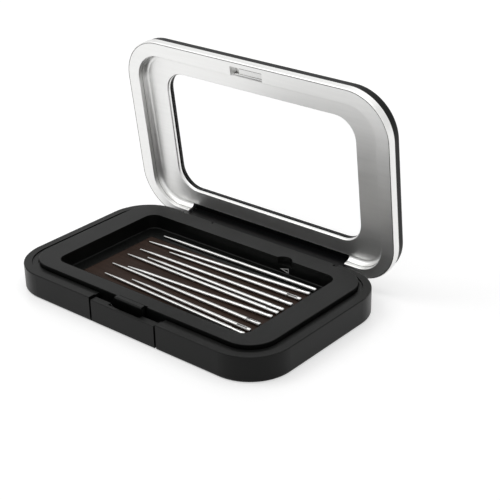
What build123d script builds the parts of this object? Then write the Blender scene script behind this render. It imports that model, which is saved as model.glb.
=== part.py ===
from build123d import *
import math
import os

# Magnetic needle case, lid standing open, in millimetres.
# Origin at the centre of the underside, +X along the length, -Y the button side,
# +Y the hinge side, +Z up.

# Outline of the closed case
case_length = 100.0
case_width = 61.0
case_corner_radius = 13.8

# Base shell
rim_height = 8.0
base_floor = 1.2
rim_width = 2.5
step_width = 0.8
bottom_round = 0.8
rim_round = 0.3

# Tray that drops into the base
flange_drop = 0.3
flange_thickness = 1.0
flange_gap = 0.1
tray_rise = 1.0
tray_wall = 1.2
tray_floor = 1.0
tray_edge_round = 0.18
groove_width = 0.35
groove_depth = 0.5
recess_inset_side = 12.55
recess_inset_front = 9.6
recess_inset_rear = 8.85
recess_corner_radius = 3.5
recess_depth = 4.8
recess_bottom_round = 0.3
post_radius = 1.2
post_clearance = 0.05
socket_wall = 0.9
post_inset_y = 13.5

# Finger notch and pointer mark on the hinge side of the recess
notch_x = 17.7
notch_chord = 5.6
notch_reach = 1.75
notch_depth = 2.1
pointer_offset = 1.45
pointer_lift = 0.4
pointer_length = 3.3
pointer_height = 1.6
pointer_line = 0.24
pointer_thickness = 0.12
clip_notch_x = -16.8
clip_notch_width = 0.75
clip_notch_reach = 0.9
clip_notch_depth = 0.8

# Magnet sheet on its adhesive film
magnet_margin_side = 4.95
magnet_margin_front = 6.4
magnet_margin_rear = 6.15
magnet_thickness = 1.0
film_thickness = 0.1
film_margin = 1.0
inlay_gap = 0.1

# Needles, thickest at the eye. Each row: place of the eye end and of the tip across the recess,
# then length, as shares of the recess's half width and of its length, and the roll in degrees
needle_radius = 0.63
needle_neck_radius = 0.47
needle_tip_radius = 0.2
needle_taper = 7.0
needle_eye_length = 3.8
needle_eye_width = 0.26
needle_eye_setback = 1.3
needle_lift = 0.02
needle_end_gap = 4.85
needle_rows = [
    (-0.720, -0.600, 0.774, 0),
    (-0.596, -0.505, 0.647, 25),
    (-0.398, -0.311, 0.814, 15),
    (-0.141, -0.252, 0.741, 0),
    (-0.011, 0.034, 0.821, -10),
    (0.100, 0.133, 0.734, -15),
    (0.288, 0.262, 0.814, 5),
    (0.481, 0.456, 0.695, 30),
    (0.680, 0.534, 0.835, 10),
    (0.826, 0.807, 0.821, -5),
]

# Lid, sizes counted upward from its mating face in the closed case
lid_gap = 0.08
lid_overhang = 0.5
lid_wall_inset = 4.4
hinge_wall_inset = 2.9
lid_tray_clearance = 0.35
frame_band = 2.3
frame_height = 3.85
frame_floor_level = 3.0
wall_step_level = 1.3
wall_step = 0.15
cove_radius = 1.4
frame_edge_round = 0.3
inner_edge_chamfer = 0.2
line_inset = 0.32
line_width = 0.18
line_depth = 0.2
window_inset_side = 13.6
window_inset_front = 10.35
window_inset_rear = 9.35
window_corner_radius = 7.0
window_chamfer = 0.3
collar_height = 0.1
cover_height = 5.8
cover_overhang = 0.1
cover_edge_round = 1.2
cover_window_gap = 0.12
cover_window_chamfer = 0.2
skirt_thickness = 1.0
seat_gap = 0.1
pane_overlap = 2.0
pane_thickness = 0.6
tape_thickness = 0.1
tape_margin = 0.3

# Hinge
hinge_inset = 0.64
hinge_height = 5.04
open_angle = 83.0
pin_radius = 0.6
pin_clearance = 0.05
pin_length = 9.6
pin_end_gap = 0.2
knuckle_wall = 0.65
tongue_inset = 18.6
tongue_side_gap = 0.3
tongue_frame_gap = 0.4
tongue_clearance = 0.3
tongue_front_gap = 2.26
ear_length = 5.0

# Push button, hook and its springs
button_width = 25.0
button_gap = 0.7
button_drop = 0.6
button_travel = 0.8
button_bottom_gap = 0.3
button_edge_round = 0.25
panel_thickness = 1.0
ledge_depth = 2.3
ledge_height = 1.2
ledge_notch_width = 12.6
web_thickness = 1.0
web_clearance = 0.1
wing_length = 1.7
wing_thickness = 0.45
stop_gap = 0.15
travel_margin = 0.1
hook_width = 10.6
hook_rise = 0.6
hook_headroom = 0.3
hook_side_gap = 0.4
stem_thickness = 0.75
nose_overhang = 0.8
nose_edge = 0.3
nose_chamfer = 0.3
spring_inset = 3.4
spring_height = 4.6
spring_radius = 1.0
spring_wire = 0.15
spring_turns = 4
spigot_radius = 0.6
spigot_length = 1.2

# Catch pocket in the lid wall
pocket_width = 12.2
pocket_reach = 3.1
pocket_depth = 2.8
catch_gap = 0.07
catch_cover = 0.26
catch_start_x = -2.6
catch_drop = 0.05
catch_ramp = 0.12
catch_line_width = 0.16
catch_line_depth = 0.25

# Places worked out from the sizes above
half_length = case_length / 2
half_width = case_width / 2
tray_top = rim_height + tray_rise
flange_top = rim_height - flange_drop
flange_bottom = flange_top - flange_thickness
lower_wall = rim_width + step_width
tray_inset = lid_wall_inset + lid_tray_clearance
tray_corner_radius = case_corner_radius - tray_inset
tray_half_x = half_length - tray_inset
tray_front_y = -half_width + tray_inset
tray_rear_y = half_width - hinge_wall_inset - lid_tray_clearance
recess_floor = tray_top - recess_depth
recess_half_x = half_length - recess_inset_side
recess_front_y = -half_width + recess_inset_front
recess_rear_y = half_width - recess_inset_rear
magnet_half_x = recess_half_x - magnet_margin_side
magnet_front_y = recess_front_y + magnet_margin_front
magnet_rear_y = recess_rear_y - magnet_margin_rear
magnet_top = recess_floor
film_top = magnet_top - magnet_thickness
inlay_floor = film_top - film_thickness
mating_z = rim_height + lid_gap
pane_level = mating_z + frame_height + collar_height + tape_thickness
knuckle_radius = pin_radius + knuckle_wall
hinge_y = half_width - hinge_inset
hinge_axis = Axis((0, hinge_y, hinge_height), (1, 0, 0))
tongue_half = half_length - tongue_inset
tongue_front_y = hinge_y - knuckle_radius
tongue_rear_y = hinge_y + knuckle_radius
tongue_cut_y = tongue_front_y - tongue_front_gap
plateau_rear_y = tongue_front_y - tongue_clearance
well_half = tongue_half + tongue_side_gap
well_floor = hinge_height - knuckle_radius - tongue_clearance
button_half = button_width / 2
front_y = -half_width
panel_back_y = front_y + panel_thickness
web_back_y = tray_front_y - button_travel - wing_thickness * 0.1
hook_half = hook_width / 2
relief_depth = button_travel + travel_margin - hook_side_gap
hook_back_y = tray_front_y - hook_side_gap
stem_front_y = hook_back_y - stem_thickness
nose_front_y = stem_front_y - nose_overhang
hook_top = tray_top + hook_rise
lid_wall_front_y = -half_width + lid_wall_inset


def block(x0, x1, y0, y1, z0, z1):
    centre = Pos((x0 + x1) / 2, (y0 + y1) / 2, (z0 + z1) / 2)
    return centre * Box(x1 - x0, y1 - y0, z1 - z0)


def plate(x0, x1, y0, y1, radius, z0, z1):
    outline = RectangleRounded(x1 - x0, y1 - y0, radius)
    return extrude(Pos((x0 + x1) / 2, (y0 + y1) / 2, z0) * outline, amount=z1 - z0)


def case_plate(inset, z0, z1):
    """Plate with the outline of the case, drawn in by an inset."""
    x = half_length - inset
    y = half_width - inset
    return plate(-x, x, -y, y, case_corner_radius - inset, z0, z1)


def window_plate(margin, z0, z1):
    """Plate with the outline of the window, let out by a margin."""
    x = half_length - window_inset_side + margin
    front = window_inset_front - half_width - margin
    rear = half_width - window_inset_rear + margin
    return plate(-x, x, front, rear, window_corner_radius + margin, z0, z1)


def rod(radius, x0, x1, y, z):
    """Round rod along X."""
    return Pos((x0 + x1) / 2, y, z) * Rot(0, 90, 0) * Cylinder(radius, x1 - x0)


def posts(radius, z0, z1):
    x = (recess_half_x + tray_half_x) / 2
    y = half_width - post_inset_y
    centre = (z0 + z1) / 2
    return [Pos(sx * x, sy * y, centre) * Cylinder(radius, z1 - z0) for sx in (-1, 1) for sy in (-1, 1)]


def base_shell():
    body = case_plate(0, 0, rim_height)
    body = fillet(body.edges().group_by(Axis.Z)[0], bottom_round)
    body = fillet(body.edges().group_by(Axis.Z)[-1], rim_round)
    body -= case_plate(rim_width, flange_bottom, rim_height + 1)
    body -= case_plate(lower_wall, base_floor, flange_bottom + 0.01)
    body -= block(-well_half, well_half, 0, plateau_rear_y + flange_gap, base_floor, rim_height + 1)
    body -= block(-well_half, well_half, plateau_rear_y, half_width + 1, well_floor, rim_height + 1)
    for side in (-1, 1):
        near = side * well_half
        far = side * (well_half + ear_length)
        x0, x1 = min(near, far), max(near, far)
        body += rod(knuckle_radius, x0, x1, hinge_y, hinge_height)
        body += block(x0, x1, tongue_front_y, hinge_y,
                      hinge_height - knuckle_radius, hinge_height + knuckle_radius)
        blind = pin_length / 2 + pin_end_gap
        bore = (near, near + side * blind)
        body -= rod(pin_radius, min(bore), max(bore), hinge_y, hinge_height)
    opening_half = button_half + button_gap
    wall_back_y = front_y + lower_wall + flange_gap
    body -= block(-opening_half, opening_half, front_y - 1, wall_back_y, base_floor, rim_height + 1)
    floor_back_y = panel_back_y + button_travel + travel_margin
    body -= block(-opening_half, opening_half, front_y - 1, floor_back_y, -1, base_floor + 0.01)
    for post in posts(post_radius, base_floor - 0.1, flange_bottom - tray_floor):
        body += post
    return body


def tray_top_plate():
    body = plate(-tray_half_x, tray_half_x, tray_front_y, tray_rear_y, tray_corner_radius,
                 flange_bottom, tray_top)
    body += block(-tongue_half, tongue_half, 0, plateau_rear_y, flange_bottom, tray_top)
    body = fillet(body.edges().group_by(Axis.Z)[-1], tray_edge_round)
    flange = case_plate(rim_width + flange_gap, flange_bottom, flange_top)
    flange -= foot_groove()
    flange -= block(-well_half, well_half, plateau_rear_y, half_width, flange_bottom - 1, tray_top)
    return body + flange


def foot_groove():
    """Cutter for the shallow groove in the flange, round the foot of the raised part."""
    x = tray_half_x + groove_width
    return plate(-x, x, tray_front_y - groove_width, tray_rear_y + groove_width,
                 tray_corner_radius + groove_width, flange_top - groove_depth, tray_top)


def tray():
    body = tray_top_plate()
    skirt = case_plate(tray_inset, base_floor, flange_bottom)
    skirt -= case_plate(tray_inset + tray_wall, base_floor - 1, flange_bottom + 1)
    body += skirt
    body += block(-tongue_half, tongue_half, plateau_rear_y - tray_wall, plateau_rear_y,
                  base_floor, flange_bottom)
    half = recess_half_x
    body += plate(-half - tray_wall, half + tray_wall,
                  recess_front_y - tray_wall, recess_rear_y + tray_wall,
                  recess_corner_radius + tray_wall, inlay_floor - tray_floor, flange_bottom)
    recess = plate(-half, half, recess_front_y, recess_rear_y, recess_corner_radius,
                   recess_floor, tray_top + 1)
    recess = fillet(recess.edges().group_by(Axis.Z)[0], recess_bottom_round)
    body -= recess
    x = magnet_half_x + inlay_gap
    body -= block(-x, x, magnet_front_y - inlay_gap, magnet_rear_y + inlay_gap,
                  inlay_floor, recess_floor + 1)
    for socket in posts(post_radius + post_clearance + socket_wall, base_floor, flange_bottom):
        body += socket
    for bore in posts(post_radius + post_clearance, base_floor - 1, flange_bottom - tray_floor / 2):
        body -= bore
    body -= front_reliefs()
    body -= finger_notch()
    body -= block(clip_notch_x - clip_notch_width / 2, clip_notch_x + clip_notch_width / 2,
                  plateau_rear_y - clip_notch_reach, plateau_rear_y + 1,
                  tray_top - clip_notch_depth, tray_top + 1)
    return body


def front_reliefs():
    """Room for the hook to move back, and for the button in the flange."""
    side = hook_half + hook_side_gap
    relief = block(-side, side, tray_front_y - 1, tray_front_y + relief_depth, 0, tray_top + 1)
    opening_half = button_half + button_gap
    relief += block(-opening_half, opening_half, front_y, tray_front_y, 0, flange_top + 1)
    return relief


def finger_notch():
    radius = ((notch_chord / 2) ** 2 + notch_reach ** 2) / (2 * notch_reach)
    centre_y = recess_rear_y + notch_reach - radius
    bottom = tray_top - notch_depth
    return Pos(notch_x, centre_y, bottom + notch_depth) * Cylinder(radius, 2 * notch_depth)


def pointer_mark():
    """Plain open triangle on the recess wall, below the finger notch."""
    x0 = notch_x + pointer_offset
    z0 = magnet_top + pointer_lift
    wall = Plane(origin=(0, recess_rear_y, 0), x_dir=(1, 0, 0), z_dir=(0, -1, 0))
    tip = (x0 - pointer_length, z0 + pointer_height / 2)
    outer = make_face(Polyline(tip, (x0, z0), (x0, z0 + pointer_height), close=True))
    mark = outer - offset(outer, -pointer_line, kind=Kind.INTERSECTION)
    return extrude(wall * mark, amount=pointer_thickness)


def magnet_adhesive():
    x = magnet_half_x - film_margin
    return block(-x, x, magnet_front_y + film_margin, magnet_rear_y - film_margin, inlay_floor, film_top)


def magnet_sheet():
    return block(-magnet_half_x, magnet_half_x, magnet_front_y, magnet_rear_y, film_top, magnet_top)


def needle(eye_share, tip_share, length_share, roll):
    """Large-eyed sewing needle, drawn along X with the eye end at the origin."""
    r = needle_radius
    centre_y = (recess_front_y + recess_rear_y) / 2
    half_y = (recess_rear_y - recess_front_y) / 2
    eye_y = centre_y + eye_share * half_y
    tip_y = centre_y + tip_share * half_y
    length = length_share * recess_half_x * 2
    neck = needle_neck_radius
    with BuildSketch() as half:
        with BuildLine():
            Line((0, 0), (-length, 0))
            RadiusArc((-length, 0), (needle_tip_radius - length, needle_tip_radius), needle_tip_radius)
            Line((needle_tip_radius - length, needle_tip_radius), (needle_taper - length, neck))
            Line((needle_taper - length, neck), (-r, r))
            RadiusArc((-r, r), (0, 0), r)
        make_face()
    body = revolve(half.sketch, Axis.X)
    eye_x = -needle_eye_setback - needle_eye_length / 2
    eye = extrude(SlotOverall(needle_eye_length, needle_eye_width), amount=r + 1, both=True)
    body -= Pos(eye_x, 0, 0) * eye
    turn = math.degrees(math.asin((eye_y - tip_y) / length))
    tilt = math.degrees(math.atan((r - neck) / (length - needle_taper)))
    body = Rot(0, 0, turn) * Rot(0, -tilt, 0) * Rot(roll, 0, 0) * body
    return Pos(recess_half_x - needle_end_gap, eye_y, magnet_top + needle_lift + r) * body


def lid_frame():
    """Silver frame in the closed place: rim wall, stepped inner wall, ring floor and lip."""
    base = mating_z
    floor_z = base + frame_floor_level
    body = case_plate(-lid_overhang, base, base + frame_band)
    body = fillet(body.edges().group_by(Axis.Z)[0], frame_edge_round)
    step_inset = skirt_thickness - cover_overhang + seat_gap
    body += case_plate(step_inset, base + frame_band / 2, base + frame_height)
    body -= edge_line()
    body -= mating_wall(inner_edge_chamfer, base - 1, base + inner_edge_chamfer, inner_edge_chamfer)
    body -= mating_wall(0, base - 1, base + wall_step_level, 0)
    body -= mating_wall(-wall_step, base + wall_step_level / 2, floor_z, 0, cove_radius)
    body += window_plate(pane_overlap, floor_z, base + frame_height + collar_height)
    body -= window_plate(0, base, base + frame_height + 1)
    chamfer_cut = window_plate(window_chamfer, floor_z - 1, floor_z + window_chamfer)
    body -= chamfer(chamfer_cut.edges().group_by(Axis.Z)[-1], window_chamfer * 0.98)
    side = tongue_half + tongue_frame_gap
    body -= block(-side, side, tongue_cut_y, half_width + 2, base - 1, base + frame_height + 1)
    body -= catch_pocket()
    body += catch_lip()
    return body


def mating_wall(margin, z0, z1, slope, cove=0):
    """Cutter with the outline of the frame's inner wall, its upper edge sloped or coved."""
    x = half_length - lid_wall_inset + margin
    front = lid_wall_front_y - margin
    rear = half_width - hinge_wall_inset + margin
    cutter = plate(-x, x, front, rear, case_corner_radius - lid_wall_inset + margin, z0, z1)
    if slope:
        cutter = chamfer(cutter.edges().group_by(Axis.Z)[-1], slope * 0.98)
    if cove:
        cutter = fillet(cutter.edges().group_by(Axis.Z)[-1], cove)
    return cutter


def edge_line():
    """Fine line cut round the mating face."""
    outer = line_inset - lid_overhang
    ring = case_plate(outer, mating_z - 1, mating_z + line_depth)
    return ring - case_plate(outer + line_width, mating_z - 2, mating_z + 1)


def catch_pocket():
    base = mating_z
    side = pocket_width / 2
    outer_y = lid_wall_front_y - pocket_reach
    mouth_y = lid_wall_front_y + wall_step + 0.05
    mouth = block(-side, side, outer_y, mouth_y, base - 1, hook_top + hook_headroom)
    deep = block(-side, side, outer_y, lid_wall_front_y - seat_gap, base, base + pocket_depth)
    return mouth + deep


def catch_lip():
    """Sloped ledge that the hook's nose snaps behind."""
    base = mating_z
    top = hook_top - nose_chamfer - nose_edge - catch_gap
    inner_y = nose_front_y + catch_cover
    line_y = lid_wall_front_y - pocket_reach + catch_line_width
    outer_y = lid_wall_front_y - pocket_reach - 0.2
    profile = Polyline(
        (outer_y, base + catch_drop + catch_line_depth),
        (line_y, base + catch_drop + catch_line_depth),
        (line_y, base + catch_drop),
        (inner_y, base + catch_drop + catch_ramp),
        (inner_y, top),
        (outer_y, top),
        close=True,
    )
    start = Plane(origin=(catch_start_x, 0, 0), x_dir=(0, 1, 0), z_dir=(1, 0, 0))
    return extrude(start * make_face(profile), amount=pocket_width / 2 + 0.2 - catch_start_x)


def lid_cover():
    """Black outer cover in the closed place: skirt, pane seat, window and hinge tongue."""
    bottom = mating_z + frame_height
    top = mating_z + cover_height
    body = case_plate(-cover_overhang, mating_z + frame_band, top)
    body = fillet(body.edges().group_by(Axis.Z)[-1], cover_edge_round)
    body -= case_plate(skirt_thickness - cover_overhang, mating_z, bottom)
    body -= window_plate(pane_overlap + seat_gap, bottom - 1, pane_level + pane_thickness)
    body -= window_plate(cover_window_gap, bottom, top + 1)
    rim = window_plate(cover_window_gap + cover_window_chamfer, top - cover_window_chamfer, top + 1)
    body -= chamfer(rim.edges().group_by(Axis.Z)[0], cover_window_chamfer * 0.98)
    bar_rear_y = half_width + cover_overhang - cover_edge_round
    body += block(-tongue_half, tongue_half, tongue_front_y, bar_rear_y, hinge_height, (bottom + top) / 2)
    body += block(-tongue_half, tongue_half, tongue_front_y, tongue_rear_y, hinge_height, bottom)
    body += rod(knuckle_radius, -tongue_half, tongue_half, hinge_y, hinge_height)
    blind = pin_length / 2 + pin_end_gap + tongue_side_gap
    for side in (-1, 1):
        bore = (side * (tongue_half - blind), side * (tongue_half + 1))
        body -= rod(pin_radius + pin_clearance, min(bore), max(bore), hinge_y, hinge_height)
    return body


def window_adhesive():
    ring = window_plate(pane_overlap - tape_margin, pane_level - tape_thickness, pane_level)
    return ring - window_plate(tape_margin, pane_level - 1, pane_level + 1)


def window_pane():
    return window_plate(pane_overlap, pane_level, pane_level + pane_thickness)


def hinge_pin(side):
    near = side * (well_half - pin_length / 2)
    far = side * (well_half + pin_length / 2)
    return rod(pin_radius, min(near, far), max(near, far), hinge_y, hinge_height)


def latch_button():
    """Front panel, top ledges, sliding web with stop wings, and the hook."""
    web_bottom = base_floor + web_clearance
    web_top = web_bottom + web_thickness
    panel_top = rim_height - button_drop
    body = block(-button_half, button_half, front_y, panel_back_y, button_bottom_gap, panel_top)
    ledge_z = panel_top - ledge_height
    body += block(-button_half, button_half, front_y, front_y + ledge_depth, ledge_z, panel_top)
    body = fillet(body.edges().filter_by(Axis.X).group_by(Axis.Y)[0], button_edge_round)
    notch = ledge_notch_width / 2
    body -= block(-notch, notch, panel_back_y, front_y + ledge_depth + 1, ledge_z - 1, rim_height + 1)
    body += block(-button_half, button_half, panel_back_y - 0.2, web_back_y, web_bottom, web_top)
    wing = button_half + wing_length
    wing_front_y = front_y + lower_wall + stop_gap
    body += block(-wing, wing, wing_front_y, web_back_y, web_bottom, web_top)
    body += hook(web_bottom)
    for side in (-1, 1):
        spigot = Rot(90, 0, 0) * Cylinder(spigot_radius, spigot_length + 0.2)
        spigot_y = panel_back_y + spigot_length / 2 - 0.1
        body += Pos(side * (button_half - spring_inset), spigot_y, spring_height) * spigot
    return body


def hook(bottom):
    nose_bottom = hook_top - nose_chamfer - nose_edge
    profile = Polyline(
        (stem_front_y, bottom),
        (stem_front_y, nose_bottom),
        (nose_front_y, nose_bottom),
        (nose_front_y, nose_bottom + nose_edge),
        (nose_front_y + nose_chamfer, hook_top),
        (hook_back_y, hook_top),
        (hook_back_y, bottom),
        close=True,
    )
    side = Plane(origin=(-hook_half, 0, 0), x_dir=(0, 1, 0), z_dir=(1, 0, 0))
    return extrude(side * make_face(profile), amount=hook_width)


def button_spring(side):
    """Coil spring between the panel and the tray's skirt."""
    length = tray_front_y - panel_back_y - 2 * spring_wire - 0.04
    coil = Helix(pitch=length / spring_turns, height=length, radius=spring_radius)
    section = Plane(origin=coil @ 0, z_dir=coil % 0) * Circle(spring_wire)
    body = sweep(section, path=coil)
    start_y = tray_front_y - spring_wire - 0.02
    return Pos(side * (button_half - spring_inset), start_y, spring_height) * Rot(90, 0, 0) * body


def opened(body):
    """Swing a lid piece from its closed place to where it stands open."""
    return body.rotate(hinge_axis, -open_angle)


def write(name, body):
    export_step(body, "parts/" + name + ".step")


os.makedirs("parts", exist_ok=True)
write("base_shell", base_shell())
write("tray", tray())
write("pointer_mark", pointer_mark())
write("magnet_adhesive", magnet_adhesive())
write("magnet_sheet", magnet_sheet())
write("latch_button", latch_button())
write("hinge_pin_left", hinge_pin(-1))
write("hinge_pin_right", hinge_pin(1))
write("button_spring_left", button_spring(-1))
write("button_spring_right", button_spring(1))
for number, row in enumerate(needle_rows, start=1):
    write("needle_%02d" % number, needle(*row))
write("lid_frame", opened(lid_frame()))
write("lid_cover", opened(lid_cover()))
write("window_adhesive", opened(window_adhesive()))
write("window_pane", opened(window_pane()))
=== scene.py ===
import math

import bpy
from bpy.props import FloatProperty, FloatVectorProperty, PointerProperty
from mathutils import Matrix, Vector


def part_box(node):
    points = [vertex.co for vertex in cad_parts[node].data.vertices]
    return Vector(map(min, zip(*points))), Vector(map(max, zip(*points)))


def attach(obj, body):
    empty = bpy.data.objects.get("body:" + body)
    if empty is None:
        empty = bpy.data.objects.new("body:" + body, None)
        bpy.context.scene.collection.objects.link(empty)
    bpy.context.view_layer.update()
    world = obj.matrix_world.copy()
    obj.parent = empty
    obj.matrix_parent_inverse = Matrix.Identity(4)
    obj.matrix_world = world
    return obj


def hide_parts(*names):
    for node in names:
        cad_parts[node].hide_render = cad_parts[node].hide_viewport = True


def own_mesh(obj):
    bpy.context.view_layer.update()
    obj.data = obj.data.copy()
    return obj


bl_info = {
    "name": "Magnetic Needle Case",
    "version": (1, 0, 0),
    "blender": (4, 5, 0),
    "location": "View3D > Sidebar > Needle Case",
    "description": "Finishes for a magnetic needle case with a windowed lid, and a plain studio around it",
    "category": "Object",
}

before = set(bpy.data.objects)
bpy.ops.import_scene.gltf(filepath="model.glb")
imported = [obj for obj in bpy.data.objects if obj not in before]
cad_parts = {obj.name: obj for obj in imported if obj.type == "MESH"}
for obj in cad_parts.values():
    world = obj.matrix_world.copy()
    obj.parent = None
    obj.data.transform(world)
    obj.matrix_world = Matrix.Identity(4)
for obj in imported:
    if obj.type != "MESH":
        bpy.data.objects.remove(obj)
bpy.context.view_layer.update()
NEEDLES = sorted(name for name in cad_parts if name.startswith("needle_"))

# Springs behind the button, in metres
SPRING_WIRE = 0.00015
SPRING_CLOSED_TURNS = 1
SPRING_ACTIVE_TURNS = 3
SPRING_POINTS_PER_TURN = 12
SPRING_CLOSED_PITCH = 2.1 * SPRING_WIRE

# Parts of a noise's range that colours and other values follow
RAMP_LOW, RAMP_HIGH = 0.35, 0.65
NOISE_LOW, NOISE_HIGH = 0.3, 0.7

# Painted shade in the silver frame's grooves and inner corners: how far it reaches, in metres, the share of
# colour left where it falls, and how open the surface is where the painted shade is darkest and where it ends
GROOVE_SHADE_REACH = 0.00035
GROOVE_SHADE_TONE = 0.02
GROOVE_SHADE_SHUT, GROOVE_SHADE_OPEN = 0.35, 0.85

# Mirror of the clear sheet: straight on, its rise at grazing angles, and how late it rises
PANE_FACING = 0.008
PANE_GLANCE = 0.35
PANE_GLANCE_POWER = 5.0

# Studio: places and sizes in metres, the floor's grey and its glow near the case and far from it
FLOOR_REACH = 6.0
FLOOR_DROP = 0.00002
FLOOR_GREY = 0.62
GLOW_NEAR, GLOW_NEAR_DISTANCE = 0.53, 0.3
GLOW_FAR, GLOW_FAR_DISTANCE = 0.85, 1.5
LAMPS_AIM = (0.0, 0.01, 0.02)
OVERHEAD_PLACE, OVERHEAD_SIZE = (0.0, 0.05, 0.9), 1.0
KEY_PLACE, KEY_SIZE = (-0.35, -0.25, 0.6), 0.35
FILL_PLACE, FILL_SIZE = (0.45, -0.5, 0.3), 0.4


# Node helpers


def new_material(name):
    """An empty node material with its output and Principled shader."""
    material = bpy.data.materials.new(name)
    material.use_nodes = True
    tree = material.node_tree
    tree.nodes.clear()
    output = tree.nodes.new("ShaderNodeOutputMaterial")
    shader = tree.nodes.new("ShaderNodeBsdfPrincipled")
    tree.links.new(shader.outputs["BSDF"], output.inputs["Surface"])
    return material, tree, shader, output


def noise(tree, scale, detail=2.0, stretch=(1.0, 1.0, 1.0)):
    """Noise over the object's own coordinates, drawn out along an axis by stretch."""
    coords = tree.nodes.new("ShaderNodeTexCoord")
    mapping = tree.nodes.new("ShaderNodeMapping")
    mapping.inputs["Scale"].default_value = stretch
    texture = tree.nodes.new("ShaderNodeTexNoise")
    texture.inputs["Scale"].default_value = scale
    texture.inputs["Detail"].default_value = detail
    tree.links.new(coords.outputs["Object"], mapping.inputs["Vector"])
    tree.links.new(mapping.outputs["Vector"], texture.inputs["Vector"])
    return texture.outputs["Fac"]


def tones(tree, factor, low, high):
    """Colour ramp between two tones."""
    ramp = tree.nodes.new("ShaderNodeValToRGB")
    ramp.color_ramp.elements[0].position = RAMP_LOW
    ramp.color_ramp.elements[0].color = (*low, 1.0)
    ramp.color_ramp.elements[1].position = RAMP_HIGH
    ramp.color_ramp.elements[1].color = (*high, 1.0)
    tree.links.new(factor, ramp.inputs["Fac"])
    return ramp.outputs["Color"]


def remap(tree, value, start, end, low, high):
    """Number that goes from low to high as a value goes from start to end."""
    between = tree.nodes.new("ShaderNodeMapRange")
    between.inputs["From Min"].default_value = start
    between.inputs["From Max"].default_value = end
    between.inputs["To Min"].default_value = low
    between.inputs["To Max"].default_value = high
    tree.links.new(value, between.inputs["Value"])
    return between.outputs["Result"]


def spread(tree, factor, middle, below, above):
    """Number that follows a noise from below to above a middle."""
    return remap(tree, factor, NOISE_LOW, NOISE_HIGH, middle - below, middle + above)


def compute(tree, operation, *values):
    """Math node over numbers and sockets."""
    node = tree.nodes.new("ShaderNodeMath")
    node.operation = operation
    for socket, value in zip(node.inputs, values):
        if isinstance(value, float):
            socket.default_value = value
        else:
            tree.links.new(value, socket)
    return node.outputs["Value"]


def seen_by(tree, *rays):
    """1 for these kinds of ray, 0 for the others."""
    path = tree.nodes.new("ShaderNodeLightPath")
    result = path.outputs[rays[0]]
    for ray in rays[1:]:
        result = compute(tree, "MAXIMUM", result, path.outputs[ray])
    return result


def relief(tree, shader, height, depth):
    """Bump of a depth in metres."""
    bump = tree.nodes.new("ShaderNodeBump")
    bump.inputs["Strength"].default_value = 1.0
    bump.inputs["Distance"].default_value = depth
    tree.links.new(height, bump.inputs["Height"])
    tree.links.new(bump.outputs["Normal"], shader.inputs["Normal"])


def painted_groove_shade(tree, colour, depth, dark):
    """Colour with painted shade inside grooves and along inner corners narrower than a depth in metres."""
    # Painted shade: ambient occlusion within the object darkens the colour where the surface is closed in
    shade_nearness = tree.nodes.new("ShaderNodeAmbientOcclusion")
    shade_nearness.samples = 8
    shade_nearness.only_local = True
    shade_nearness.inputs["Distance"].default_value = depth
    scale = tree.nodes.new("ShaderNodeVectorMath")
    scale.operation = "SCALE"
    tree.links.new(colour, scale.inputs[0])
    level = remap(tree, shade_nearness.outputs["AO"], GROOVE_SHADE_SHUT, GROOVE_SHADE_OPEN, dark, 1.0)
    tree.links.new(level, scale.inputs["Scale"])
    return scale.outputs["Vector"]


def shade(colour, factor):
    """Lighter or darker copy of a colour."""
    return tuple(min(1.0, part * factor) for part in colour)


def dress(nodes, material):
    """Give CAD nodes a finish."""
    for name in nodes:
        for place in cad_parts[name].material_slots:
            place.material = material


# Finishes


def moulded_black(name, colour, roughness, grain):
    """Black moulding with a fine spark-eroded grain and faint cloudy sheen."""
    material, tree, shader, _ = new_material(name)
    cloud = noise(tree, 90.0, 3.0)
    speck = noise(tree, 5200.0)
    tree.links.new(tones(tree, cloud, shade(colour, 0.88), shade(colour, 1.12)), shader.inputs["Base Color"])
    tree.links.new(spread(tree, cloud, roughness, 0.04, 0.04), shader.inputs["Roughness"])
    relief(tree, shader, speck, depth=grain)
    shader.inputs["IOR"].default_value = 1.5
    shader.inputs["Specular IOR Level"].default_value = 0.16
    return material


def silver_lacquer(name, colour, roughness):
    """Satin silver lacquer over a moulding: metallic flakes, a fine drawn grain and painted shade in grooves
    and inner corners.
    """
    material, tree, shader, _ = new_material(name)
    flake = noise(tree, 7000.0, 1.0)
    drawn = noise(tree, 900.0, 3.0, stretch=(0.05, 1.0, 1.0))
    surface = tones(tree, drawn, shade(colour, 0.985), shade(colour, 1.015))
    # Painted shade: the lacquer's colour darkens in the frame's grooves and inner corners
    tree.links.new(painted_groove_shade(tree, surface, GROOVE_SHADE_REACH, GROOVE_SHADE_TONE), shader.inputs["Base Color"])
    tree.links.new(spread(tree, drawn, roughness, 0.012, 0.012), shader.inputs["Roughness"])
    relief(tree, shader, flake, depth=0.000002)
    shader.inputs["Metallic"].default_value = 1.0
    return material


def bright_steel(name, colour, roughness, stretch):
    """Polished steel with faint marks along the wire."""
    material, tree, shader, _ = new_material(name)
    marks = noise(tree, 2500.0, stretch=stretch)
    tree.links.new(tones(tree, marks, shade(colour, 0.93), shade(colour, 1.05)), shader.inputs["Base Color"])
    tree.links.new(spread(tree, marks, roughness, 0.05, 0.05), shader.inputs["Roughness"])
    shader.inputs["Metallic"].default_value = 1.0
    return material


def magnet_rubber(name, colour, roughness):
    """Calendered flexible magnet: dark brown, fine grain and faint rolling streaks."""
    material, tree, shader, _ = new_material(name)
    streak = noise(tree, 700.0, 4.0, stretch=(0.06, 1.0, 1.0))
    speck = noise(tree, 6000.0)
    tree.links.new(tones(tree, streak, shade(colour, 0.85), shade(colour, 1.15)), shader.inputs["Base Color"])
    tree.links.new(spread(tree, speck, roughness, 0.08, 0.05), shader.inputs["Roughness"])
    relief(tree, shader, speck, depth=0.000015)
    shader.inputs["Specular IOR Level"].default_value = 0.05
    return material


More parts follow.
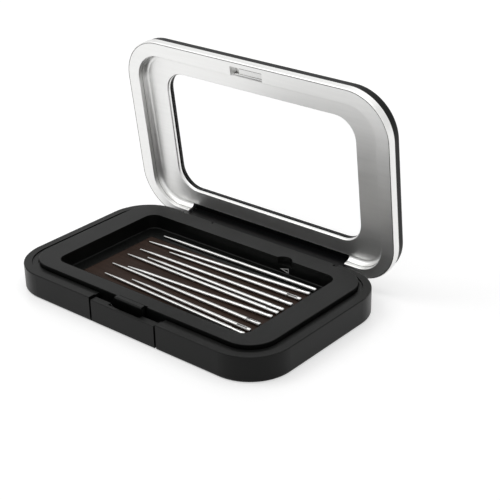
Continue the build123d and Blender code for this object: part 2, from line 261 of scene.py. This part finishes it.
def clear_sheet(name, tint, roughness):
    """Thin clear sheet: a faint mirror that grows towards grazing angles, over what is behind it."""
    material, tree, shader, _ = new_material(name)
    haze = noise(tree, 260.0)
    tree.links.new(tones(tree, haze, shade(tint, 0.97), tint), shader.inputs["Base Color"])
    shader.inputs["Metallic"].default_value = 1.0
    shader.inputs["Roughness"].default_value = roughness
    glance = tree.nodes.new("ShaderNodeLayerWeight")
    glance.inputs["Blend"].default_value = 0.5
    rise = compute(tree, "POWER", glance.outputs["Facing"], PANE_GLANCE_POWER)
    share = compute(tree, "MULTIPLY_ADD", rise, PANE_GLANCE, PANE_FACING)
    tree.links.new(share, shader.inputs["Alpha"])
    return material


# Colours and studio settings that a user would change


class CaseColours(bpy.types.PropertyGroup):
    """Colours of the case's pieces"""
    base: FloatVectorProperty(
        name="Base", description="Charcoal plastic of the shell and button", subtype="COLOR",
        default=(0.0025, 0.0028, 0.0025), min=0.0, max=1.0)
    tray: FloatVectorProperty(
        name="Tray", description="Charcoal plastic of the tray", subtype="COLOR",
        default=(0.0025, 0.0028, 0.0025), min=0.0, max=1.0)
    cover: FloatVectorProperty(
        name="Lid cover", description="Satin black of the lid's outer cover", subtype="COLOR",
        default=(0.0025, 0.0025, 0.0028), min=0.0, max=1.0)
    silver: FloatVectorProperty(
        name="Lid frame", description="Silver lacquer of the lid's frame", subtype="COLOR",
        default=(0.85, 0.85, 0.84), min=0.0, max=1.0)
    magnet: FloatVectorProperty(
        name="Magnet", description="Dark brown of the magnet sheet", subtype="COLOR",
        default=(0.034, 0.021, 0.016), min=0.0, max=1.0)
    steel: FloatVectorProperty(
        name="Needles", description="Bright plated steel", subtype="COLOR",
        default=(0.60, 0.60, 0.59), min=0.0, max=1.0)
    pane: FloatVectorProperty(
        name="Window", description="Tint of the clear sheet", subtype="COLOR",
        default=(0.95, 0.96, 0.96), min=0.0, max=1.0)
    mark: FloatVectorProperty(
        name="Pointer mark", description="Pale print of the pointer", subtype="COLOR",
        default=(0.55, 0.55, 0.54), min=0.0, max=1.0)


class StudioSettings(bpy.types.PropertyGroup):
    """Camera and lights of the studio"""
    distance: FloatProperty(
        name="Camera distance", description="From the camera to the point it looks at",
        subtype="DISTANCE", unit="LENGTH", default=0.39378, min=0.05)
    azimuth: FloatProperty(
        name="Azimuth", description="Camera's turn about the case, from its front",
        subtype="ANGLE", unit="ROTATION", default=math.radians(40.38))
    elevation: FloatProperty(
        name="Elevation", description="Camera's height angle",
        subtype="ANGLE", unit="ROTATION", default=math.radians(26.27))
    roll: FloatProperty(
        name="Roll", description="Camera's turn about its own line of sight",
        subtype="ANGLE", unit="ROTATION", default=math.radians(-1.15))
    lens: FloatProperty(
        name="Lens", description="Focal length in millimetres for a 36 mm sensor", default=90.861, min=10.0)
    target: FloatVectorProperty(
        name="Target", description="Point the camera looks at",
        subtype="TRANSLATION", unit="LENGTH", default=(0.0013646, 0.0246624, 0.006041))
    world: FloatProperty(
        name="World light", description="Strength of the light from all round", default=0.3, min=0.0)
    mirror: FloatProperty(
        name="Mirrored light", description="Strength of the surroundings in glossy surfaces",
        default=0.85, min=0.0)
    key: FloatProperty(
        name="Key light", description="Power of the lamp at the upper left, in watts", default=1.0, min=0.0)
    overhead: FloatProperty(
        name="Overhead light", description="Power of the soft lamp above, in watts", default=4.0, min=0.0)
    fill: FloatProperty(
        name="Fill light", description="Power of the lamp at the front right, in watts",
        default=0.1, min=0.0)


# Pieces


def coil_points(low, high):
    """Centre line of a compression spring along Y that fills a box, with closed turns at its ends."""
    radius = (high[0] - low[0]) / 2 - SPRING_WIRE
    middle_x = (low[0] + high[0]) / 2
    middle_z = (low[2] + high[2]) / 2
    start = low[1] + SPRING_WIRE
    length = high[1] - low[1] - 2 * SPRING_WIRE
    active_pitch = (length - 2 * SPRING_CLOSED_TURNS * SPRING_CLOSED_PITCH) / SPRING_ACTIVE_TURNS
    turns = 2 * SPRING_CLOSED_TURNS + SPRING_ACTIVE_TURNS
    steps = turns * SPRING_POINTS_PER_TURN
    for step in range(steps + 1):
        turn = turns * step / steps
        active = min(max(turn - SPRING_CLOSED_TURNS, 0), SPRING_ACTIVE_TURNS)
        along = SPRING_CLOSED_PITCH * (turn - active) + active_pitch * active
        angle = math.tau * turn
        yield (middle_x + radius * math.cos(angle), start + along, middle_z + radius * math.sin(angle))


def coil_spring(name, low, high):
    """Mesh of a round wire along a coil."""
    points = list(coil_points(low, high))
    line = bpy.data.curves.new(name + "_line", "CURVE")
    line.dimensions = "3D"
    line.resolution_u = 3
    line.bevel_depth = SPRING_WIRE
    line.bevel_resolution = 3
    line.use_fill_caps = True
    spline = line.splines.new("NURBS")
    spline.points.add(len(points) - 1)
    for point, place in zip(spline.points, points):
        point.co = (*place, 1.0)
    spline.order_u = 4
    spline.use_endpoint_u = True
    holder = bpy.data.objects.new(name + "_line", line)
    mesh = bpy.data.meshes.new_from_object(holder)
    bpy.data.objects.remove(holder)
    bpy.data.curves.remove(line)
    mesh.name = name
    mesh.shade_smooth()
    spring = bpy.data.objects.new(name, mesh)
    bpy.context.scene.collection.objects.link(spring)
    return spring


class NEEDLECASE_OT_shell(bpy.types.Operator):
    """Finish the base shell, the tray and the latch button"""
    bl_idname = "needlecase.shell"
    bl_label = "Base and tray"

    def execute(self, context):
        colours = context.scene.case_colours
        dress(["base_shell", "latch_button"],
              moulded_black("base_plastic", colours.base, roughness=0.36, grain=0.000006))
        dress(["tray"],
              moulded_black("tray_plastic", colours.tray, roughness=0.36, grain=0.000006))
        return {"FINISHED"}


class NEEDLECASE_OT_magnet(bpy.types.Operator):
    """Finish the magnet sheet, its film and the pointer mark"""
    bl_idname = "needlecase.magnet"
    bl_label = "Magnet and mark"

    def execute(self, context):
        colours = context.scene.case_colours
        dress(["magnet_sheet"], magnet_rubber("magnet_rubber", colours.magnet, roughness=0.5))
        dress(["magnet_adhesive"],
              moulded_black("adhesive_film", (0.4, 0.36, 0.28), roughness=0.4, grain=0.000005))
        dress(["pointer_mark"], moulded_black("mark_ink", colours.mark, roughness=0.4, grain=0.000005))
        return {"FINISHED"}


class NEEDLECASE_OT_needles(bpy.types.Operator):
    """Finish the needles"""
    bl_idname = "needlecase.needles"
    bl_label = "Needles"

    def execute(self, context):
        colours = context.scene.case_colours
        dress(NEEDLES, bright_steel("needle_steel", colours.steel, roughness=0.3, stretch=(0.03, 1.0, 1.0)))
        return {"FINISHED"}


class NEEDLECASE_OT_metalwork(bpy.types.Operator):
    """Finish the hinge pins and wind the button springs"""
    bl_idname = "needlecase.metalwork"
    bl_label = "Pins and springs"

    def execute(self, context):
        dress(["hinge_pin_left", "hinge_pin_right"],
              bright_steel("pin_steel", (0.6, 0.6, 0.6), roughness=0.3, stretch=(0.05, 1.0, 1.0)))
        wire = bright_steel("spring_wire", (0.16, 0.16, 0.165), roughness=0.45, stretch=(1.0, 0.3, 1.0))
        for side in ("left", "right"):
            node = "button_spring_" + side
            low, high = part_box(node)
            spring = coil_spring("coil_spring_" + side, low, high)
            spring.data.materials.append(wire)
            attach(spring, "base")
            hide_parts(node)
            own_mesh(spring)
        return {"FINISHED"}


class NEEDLECASE_OT_lid(bpy.types.Operator):
    """Finish the lid's silver frame and black cover"""
    bl_idname = "needlecase.lid"
    bl_label = "Lid"

    def execute(self, context):
        colours = context.scene.case_colours
        dress(["lid_frame"], silver_lacquer("silver_lacquer", colours.silver, roughness=0.38))
        dress(["lid_cover"],
              moulded_black("cover_plastic", colours.cover, roughness=0.38, grain=0.000008))
        return {"FINISHED"}


class NEEDLECASE_OT_window(bpy.types.Operator):
    """Finish the window pane and the tape round it"""
    bl_idname = "needlecase.window"
    bl_label = "Window"

    def execute(self, context):
        colours = context.scene.case_colours
        dress(["window_pane"], clear_sheet("clear_sheet", colours.pane, roughness=0.02))
        dress(["window_adhesive"],
              moulded_black("black_tape", (0.02, 0.02, 0.02), roughness=0.6, grain=0.00001))
        return {"FINISHED"}


# Studio


def studio_floor():
    """Pale floor that keeps the shadow and shows white to the camera, near and far."""
    mesh = bpy.data.meshes.new("studio_floor")
    reach = FLOOR_REACH
    mesh.from_pydata([(-reach, -reach, 0), (reach, -reach, 0), (reach, reach, 0), (-reach, reach, 0)],
                     [], [(0, 1, 2, 3)])
    floor = bpy.data.objects.new("studio_floor", mesh)
    floor.location.z = -FLOOR_DROP
    bpy.context.scene.collection.objects.link(floor)
    material, tree, shader, output = new_material("studio_floor")
    shader.inputs["Base Color"].default_value = (FLOOR_GREY, FLOOR_GREY, FLOOR_GREY, 1.0)
    shader.inputs["Roughness"].default_value = 0.35
    shader.inputs["Specular IOR Level"].default_value = 0.3
    coords = tree.nodes.new("ShaderNodeTexCoord")
    distance = tree.nodes.new("ShaderNodeVectorMath")
    distance.operation = "LENGTH"
    tree.links.new(coords.outputs["Object"], distance.inputs[0])
    level = remap(tree, distance.outputs["Value"], GLOW_NEAR_DISTANCE, GLOW_FAR_DISTANCE,
                  GLOW_NEAR, GLOW_FAR)
    seen = seen_by(tree, "Is Camera Ray", "Is Glossy Ray", "Is Transmission Ray")
    glow = tree.nodes.new("ShaderNodeEmission")
    glow.inputs["Color"].default_value = (1.0, 1.0, 1.0, 1.0)
    tree.links.new(compute(tree, "MULTIPLY", seen, level), glow.inputs["Strength"])
    both = tree.nodes.new("ShaderNodeAddShader")
    tree.links.new(shader.outputs["BSDF"], both.inputs[0])
    tree.links.new(glow.outputs["Emission"], both.inputs[1])
    tree.links.new(both.outputs["Shader"], output.inputs["Surface"])
    mesh.materials.append(material)


def studio_world(strength, mirror):
    """White surroundings for camera and transmitted rays, softer for glossy rays and the rest."""
    world = bpy.data.worlds.new("studio_world")
    bpy.context.scene.world = world
    world.use_nodes = True
    tree = world.node_tree
    tree.nodes.clear()
    output = tree.nodes.new("ShaderNodeOutputWorld")
    soft = tree.nodes.new("ShaderNodeBackground")
    soft.inputs["Color"].default_value = (1.0, 1.0, 1.0, 1.0)
    glossy = seen_by(tree, "Is Glossy Ray")
    tree.links.new(remap(tree, glossy, 0.0, 1.0, strength, mirror), soft.inputs["Strength"])
    white = tree.nodes.new("ShaderNodeBackground")
    white.inputs["Color"].default_value = (1.0, 1.0, 1.0, 1.0)
    white.inputs["Strength"].default_value = 1.0
    mix = tree.nodes.new("ShaderNodeMixShader")
    tree.links.new(seen_by(tree, "Is Camera Ray", "Is Transmission Ray"), mix.inputs["Fac"])
    tree.links.new(soft.outputs["Background"], mix.inputs[1])
    tree.links.new(white.outputs["Background"], mix.inputs[2])
    tree.links.new(mix.outputs["Shader"], output.inputs["Surface"])


def soft_lamp(name, power, size, place):
    """Square soft lamp aimed at the case."""
    data = bpy.data.lights.new(name, "AREA")
    data.energy = power
    data.size = size
    lamp = bpy.data.objects.new(name, data)
    lamp.location = place
    lamp.rotation_euler = (Vector(LAMPS_AIM) - Vector(place)).to_track_quat("-Z", "Y").to_euler()
    bpy.context.scene.collection.objects.link(lamp)


def studio_camera(settings):
    """Camera at the photograph's angle."""
    turn, rise = settings.azimuth, settings.elevation
    back = Vector((math.sin(turn) * math.cos(rise), -math.cos(turn) * math.cos(rise), math.sin(rise)))
    right = Vector((math.cos(turn), math.sin(turn), 0.0))
    up = back.cross(right)
    side = right * math.cos(settings.roll) + up * math.sin(settings.roll)
    top = up * math.cos(settings.roll) - right * math.sin(settings.roll)
    data = bpy.data.cameras.new("studio_camera")
    data.lens = settings.lens
    data.sensor_width = 36.0
    data.clip_start = 0.01
    camera = bpy.data.objects.new("studio_camera", data)
    axes = Matrix((side, top, back)).transposed().to_4x4()
    place = Vector(settings.target) + back * settings.distance
    camera.matrix_world = Matrix.Translation(place) @ axes
    bpy.context.scene.collection.objects.link(camera)
    bpy.context.scene.camera = camera


class NEEDLECASE_OT_stage(bpy.types.Operator):
    """Set up the floor, the lights and the camera"""
    bl_idname = "needlecase.stage"
    bl_label = "Studio"

    def execute(self, context):
        settings = context.scene.case_studio
        studio_floor()
        studio_world(settings.world, settings.mirror)
        soft_lamp("overhead_lamp", settings.overhead, OVERHEAD_SIZE, OVERHEAD_PLACE)
        soft_lamp("key_lamp", settings.key, KEY_SIZE, KEY_PLACE)
        soft_lamp("fill_lamp", settings.fill, FILL_SIZE, FILL_PLACE)
        studio_camera(settings)
        context.scene.view_settings.view_transform = "Standard"
        return {"FINISHED"}


STEPS = (
    NEEDLECASE_OT_shell,
    NEEDLECASE_OT_magnet,
    NEEDLECASE_OT_needles,
    NEEDLECASE_OT_metalwork,
    NEEDLECASE_OT_lid,
    NEEDLECASE_OT_window,
    NEEDLECASE_OT_stage,
)


class NEEDLECASE_PT_panel(bpy.types.Panel):
    """Pieces and settings of the needle case"""
    bl_idname = "NEEDLECASE_PT_panel"
    bl_label = "Needle Case"
    bl_space_type = "VIEW_3D"
    bl_region_type = "UI"
    bl_category = "Needle Case"

    def draw(self, context):
        layout = self.layout
        for step in STEPS:
            layout.operator(step.bl_idname)
        for group in (context.scene.case_colours, context.scene.case_studio):
            box = layout.box()
            for name in group.__annotations__:
                box.prop(group, name)


CLASSES = (CaseColours, StudioSettings, *STEPS, NEEDLECASE_PT_panel)


def register():
    for cls in CLASSES:
        bpy.utils.register_class(cls)
    bpy.types.Scene.case_colours = PointerProperty(type=CaseColours)
    bpy.types.Scene.case_studio = PointerProperty(type=StudioSettings)


def unregister():
    del bpy.types.Scene.case_studio
    del bpy.types.Scene.case_colours
    for cls in reversed(CLASSES):
        bpy.utils.unregister_class(cls)


def main():
    register()
    bpy.ops.needlecase.shell()
    bpy.ops.needlecase.magnet()
    bpy.ops.needlecase.needles()
    bpy.ops.needlecase.metalwork()
    bpy.ops.needlecase.lid()
    bpy.ops.needlecase.window()
    bpy.ops.needlecase.stage()


if __name__ == "__main__":
    main()
